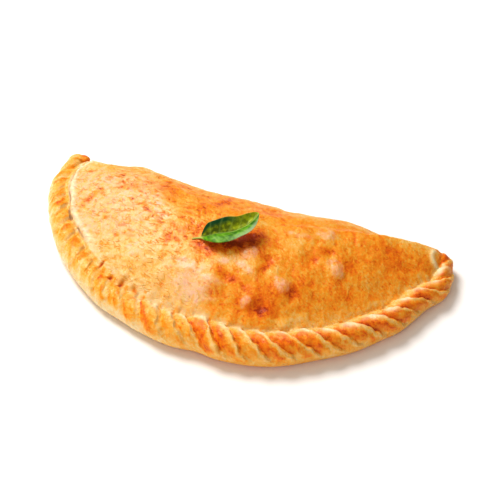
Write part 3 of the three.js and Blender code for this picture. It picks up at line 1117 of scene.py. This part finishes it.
class Nodes:
    """Short ways to add the nodes that the materials here use."""

    def __init__(self, name):
        self.material = bpy.data.materials.new(name)
        self.material.use_nodes = True
        self.tree = self.material.node_tree
        self.shader = self.tree.nodes["Principled BSDF"]

    def fill(self, node, inputs):
        """Sets a node's inputs to numbers or colours, or links them to other nodes' outputs."""
        for key, value in inputs.items():
            if isinstance(value, bpy.types.NodeSocket):
                self.tree.links.new(value, node.inputs[key])
            else:
                node.inputs[key].default_value = value

    def add(self, kind, inputs, **settings):
        node = self.tree.nodes.new("ShaderNode" + kind)
        for name, setting in settings.items():
            setattr(node, name, setting)
        self.fill(node, inputs)
        return node

    def attribute(self, name):
        return self.add("Attribute", {}, attribute_name=name).outputs["Fac"]

    def place(self):
        return self.add("TexCoord", {}).outputs["Object"]

    def turned(self, turn, stretch):
        """The place with lengths along one direction in plan, in degrees, cut down by stretch."""
        inputs = {"Angle": math.radians(-turn), "Vector": self.place()}
        turning = self.add("VectorRotate", inputs, rotation_type="Z_AXIS")
        inputs = {0: turning.outputs["Vector"], 1: (1 / stretch, 1, 1 / stretch)}
        return self.add("VectorMath", inputs, operation="MULTIPLY").outputs["Vector"]

    def noise(self, size, detail=2, rough=0.5, warp=0, place=None):
        """Noise about 0.5, with features of the given size in millimetres."""
        inputs = {"Scale": 1 / (size * MM), "Detail": detail, "Roughness": rough, "Distortion": warp}
        inputs["Vector"] = place or self.place()
        return self.add("TexNoise", inputs).outputs["Fac"]

    def creases(self, size, stretch, turn, width):
        """Thin broken lines along one direction: 1 along the line, 0 beside it."""
        field = self.noise(size, 1, 0.5, 0.7, self.turned(turn, stretch))
        apart = self.math("ABSOLUTE", self.math("SUBTRACT", field, 0.5))
        line = self.scaled(apart, 0, width, 1, 0)
        broken = self.scaled(self.noise(2 * size, 1), 0.42, 0.6)
        return self.math("MULTIPLY", line, broken)

    def specks(self, spacing, radius, share):
        """Small round specks: 1 inside, in the given share of the cells of a random pattern."""
        cells = self.add("TexVoronoi", {"Scale": 1 / (spacing * MM), "Vector": self.place()})
        near = self.scaled(cells.outputs["Distance"], 0.6 * radius / spacing, radius / spacing, 1, 0)
        split = self.add("SeparateColor", {"Color": cells.outputs["Color"]})
        return self.math("MULTIPLY", near, self.math("LESS_THAN", split.outputs["Red"], share))

    def math(self, operation, first, second=0):
        return self.add("Math", {0: first, 1: second}, operation=operation).outputs[0]

    def scaled(self, value, low, high, to_low=0, to_high=1):
        """The value moved from the first range to the second, and kept within it."""
        limits = {"From Min": low, "From Max": high, "To Min": to_low, "To Max": to_high}
        return self.add("MapRange", {"Value": value, **limits}).outputs["Result"]

    def mix(self, amount, first, second):
        inputs = {"Factor": amount, MIX_FIRST: first, MIX_SECOND: second}
        return self.add("Mix", inputs, data_type="RGBA").outputs[MIX_RESULT]

    def ramp(self, value, stops):
        node = self.add("ValToRGB", {"Fac": value})
        elements = node.color_ramp.elements
        while len(elements) < len(stops):
            elements.new(0.5)
        for element, (position, colour) in zip(elements, stops):
            element.position = position
            element.color = (*colour, 1)
        return node.outputs["Color"]

    def bump(self, height, distance, strength, before=None):
        inputs = {"Distance": distance * MM, "Strength": strength, "Height": height}
        if before is not None:
            inputs["Normal"] = before
        return self.add("Bump", inputs).outputs["Normal"]


# Colours of the crust from barely baked to burnt.
BAKE_STOPS = [
    (0.0, (0.85, 0.68, 0.4)),
    (0.2, (0.85, 0.57, 0.23)),
    (0.38, (0.85, 0.465, 0.09)),
    (0.52, (0.86, 0.37, 0.025)),
    (0.66, (0.84, 0.255, 0.006)),
    (0.8, (0.75, 0.16, 0.004)),
    (0.92, (0.6, 0.095, 0.004)),
    (1.0, (0.43, 0.055, 0.004)),
]
# Paler dough, also giving the painted sheen highlights.
PALE_AND_SHEEN_COLOUR = (0.89, 0.53, 0.35, 1)
# Pale dough, also used for the painted highlights on the lips and the front slope.
FLOUR_AND_HIGHLIGHT_COLOUR = (0.86, 0.74, 0.52, 1)
SLIT_DARK_COLOUR = (0.46, 0.09, 0.01, 1)
GAP_SHADE_COLOUR = (0.4, 0.25, 0.14, 1)
SPECK_COLOUR = (0.5, 0.11, 0.012, 1)
GLOW_RADIUS = (1.0, 0.4, 0.15)
GLOW_DEPTH = 2.2


def crust_material():
    nodes = Nodes("baked_crust")
    mottle = nodes.scaled(nodes.noise(5, 5, 0.7, 0.8), 0.3, 0.7, -0.12, 0.12)
    grain = nodes.scaled(nodes.noise(1.6, 3, 0.7, 0.6), 0.3, 0.7, -0.13, 0.13)
    wrinkled = nodes.math("ADD", nodes.math("MULTIPLY", nodes.attribute("wrinkled"), 0.6), 0.4)
    creases = nodes.math("MULTIPLY", nodes.creases(2.4, 2.8, -14, 0.06), wrinkled)
    # How brown each place is, with the painted shade and the leaf's painted shadow in it.
    bake = nodes.attribute("bake")
    # Random mottle and grain, and browner along the creases: painted shade there, with some browning.
    for part in (mottle, grain, nodes.math("MULTIPLY", creases, 0.28)):
        bake = nodes.math("ADD", bake, part)
    colour = nodes.ramp(bake, BAKE_STOPS)
    pale_and_sheen = nodes.scaled(nodes.noise(3.4, 4, 0.65, 0.6), 0.37, 0.6, 0.1, 1)
    # Less of the pale and its painted sheen along the creases.
    pale_and_sheen = nodes.math("MULTIPLY", pale_and_sheen, nodes.scaled(creases, 0, 1, 1, 0.3))
    colour = nodes.mix(nodes.math("MULTIPLY", nodes.attribute("pale"), pale_and_sheen), colour, PALE_AND_SHEEN_COLOUR)
    colour = nodes.mix(nodes.attribute("flour_and_highlight"), colour, FLOUR_AND_HIGHLIGHT_COLOUR)
    specks = nodes.math("MULTIPLY", nodes.specks(3.4, 0.8, 0.12), 0.4)
    colour = nodes.mix(specks, colour, SPECK_COLOUR)
    # Darker colour inside the slits.
    colour = nodes.mix(nodes.attribute("slit_dark"), colour, SLIT_DARK_COLOUR)
    # Painted shade in the seam gap.
    colour = nodes.mix(nodes.attribute("gap"), colour, GAP_SHADE_COLOUR)
    sunk = nodes.bump(nodes.math("SUBTRACT", 1, creases), 0.45, 0.9)
    coarse = nodes.bump(nodes.noise(2.4, 3, 0.6, 0.4), 0.8, 0.6, sunk)
    nodes.fill(nodes.shader, {
        "Base Color": colour,
        "Roughness": nodes.scaled(nodes.noise(5, 3, 0.6), 0.3, 0.7, 0.3, 0.5),
        "Specular IOR Level": 0.4,
        "Subsurface Weight": 0.25,
        "Subsurface Radius": GLOW_RADIUS,
        "Subsurface Scale": GLOW_DEPTH * MM,
        "Normal": nodes.bump(nodes.noise(0.9, 2, 0.6), 0.2, 0.5, coarse),
    })
    return nodes.material


LEAF_DARK = (0.05, 0.17, 0.005, 1)
LEAF_BRIGHT = (0.16, 0.38, 0.008, 1)
LEAF_OLIVE = (0.11, 0.14, 0.003, 1)
LEAF_YELLOW = (0.4, 0.46, 0.006, 1)
LEAF_RIM = (0.017, 0.11, 0.03, 1)
LEAF_SHEEN = (0.6, 0.7, 0.46, 1)
LEAF_VEIN = (0.4, 0.54, 0.14, 1)
LEAF_STALK = (0.5, 0.52, 0.12, 1)
LEAF_UNDER = (0.24, 0.37, 0.1, 1)


def leaf_material():
    nodes = Nodes("basil_leaf_green")
    side, share = nodes.attribute("side"), nodes.attribute("share")
    mottle = nodes.scaled(nodes.noise(4.2, 3, 0.6, 0.4), 0.38, 0.62)
    near = nodes.mix(mottle, LEAF_DARK, LEAF_BRIGHT)
    sheen = nodes.math("MULTIPLY", nodes.scaled(side, -0.55, -0.95), nodes.scaled(share, 0.5, 0.8))
    near = nodes.mix(nodes.math("MULTIPLY", sheen, 0.7), near, LEAF_SHEEN)
    toward_tip = nodes.scaled(share, 0.4, 0.9, 0, 0.5)
    glow = nodes.math("ADD", nodes.scaled(nodes.noise(3.6, 3, 0.6, 0.3), 0.42, 0.68), toward_tip)
    far = nodes.mix(glow, LEAF_OLIVE, LEAF_YELLOW)
    rim = nodes.math("MULTIPLY", nodes.scaled(side, 0.62, 0.84), nodes.scaled(share, 0.72, 0.55))
    far = nodes.mix(rim, far, LEAF_RIM)
    colour = nodes.mix(nodes.scaled(side, -0.06, 0.06), near, far)
    colour = nodes.mix(nodes.math("MULTIPLY", nodes.attribute("vein"), 0.65), colour, LEAF_VEIN)
    colour = nodes.mix(nodes.scaled(share, 0.18, 0.1), colour, LEAF_STALK)
    colour = nodes.mix(nodes.attribute("under"), colour, LEAF_UNDER)
    nodes.fill(nodes.shader, {
        "Base Color": colour,
        "Roughness": nodes.scaled(nodes.noise(3, 2), 0.3, 0.7, 0.4, 0.52),
        "Specular IOR Level": 0.3,
        "Normal": nodes.bump(nodes.noise(0.8, 2, 0.6), 0.12, 0.5),
    })
    return nodes.material


# ---- Camera, light and floor ----

CAMERA_AZIMUTH = math.radians(23.4)
CAMERA_ELEVATION = math.radians(44.48)
CAMERA_DISTANCE = 0.9083
CAMERA_TARGET = Vector((0.0087, 0.0338, 0))
CAMERA_LENS = 94.6
CAMERA_SENSOR = 36
FLOOR_REACH = 3.0
FLOOR_COLOUR = (0.95, 0.95, 0.95, 1)

WORLD_COLOUR = (1, 0.94, 0.87, 1)
WORLD_STRENGTH = 0.5
KEY_PLACE = Vector((-0.9, 0.44, 1.46))
KEY_SIZE = 0.95
KEY_POWER = 29.5
FILL_PLACE = Vector((-0.15, -1.3, 0.62))
FILL_SIZE = 0.9
FILL_POWER = 5.5
VIEW_GAMMA = 0.8


def look_along(thing, direction):
    thing.rotation_mode = "QUATERNION"
    thing.rotation_quaternion = direction.to_track_quat("-Z", "Y")


def make_camera():
    camera = add_object("camera", bpy.data.cameras.new("camera"))
    back = Vector((
        math.sin(CAMERA_AZIMUTH) * math.cos(CAMERA_ELEVATION),
        -math.cos(CAMERA_AZIMUTH) * math.cos(CAMERA_ELEVATION),
        math.sin(CAMERA_ELEVATION),
    ))
    camera.location = CAMERA_TARGET + back * CAMERA_DISTANCE
    look_along(camera, -back)
    camera.data.lens = CAMERA_LENS
    camera.data.sensor_width = CAMERA_SENSOR
    bpy.context.scene.camera = camera


def make_floor():
    mesh = bpy.data.meshes.new("floor")
    corners = [(x * FLOOR_REACH, y * FLOOR_REACH, 0) for x, y in ((-1, -1), (1, -1), (1, 1), (-1, 1))]
    mesh.from_pydata(corners, [], [(0, 1, 2, 3)])
    nodes = Nodes("white_table")
    looks = {"Base Color": FLOOR_COLOUR, "Roughness": 0.9, "Specular IOR Level": 0.1}
    nodes.fill(nodes.shader, looks)
    mesh.materials.append(nodes.material)
    add_object("floor", mesh)


def make_light(name, place, size, power):
    """A round soft light aimed at the middle of the table."""
    light = add_object(name, bpy.data.lights.new(name, "AREA"))
    light.data.shape = "DISK"
    light.data.size = size
    light.data.energy = power
    light.location = place
    look_along(light, -place)
    return light


def make_lights():
    world = bpy.data.worlds.new("studio")
    bpy.context.scene.world = world
    world.use_nodes = True
    background = world.node_tree.nodes["Background"]
    background.inputs["Color"].default_value = WORLD_COLOUR
    background.inputs["Strength"].default_value = WORLD_STRENGTH
    world.cycles_visibility.glossy = False
    make_light("key", KEY_PLACE, KEY_SIZE, KEY_POWER)
    fill = make_light("fill", FILL_PLACE, FILL_SIZE, FILL_POWER)
    fill.visible_glossy = False


def main():
    view = bpy.context.scene.view_settings
    view.view_transform = "Standard"
    view.gamma = VIEW_GAMMA
    make_camera()
    make_floor()
    make_lights()
    shift, surface = make_crust()
    make_leaf(shift, surface)


main()
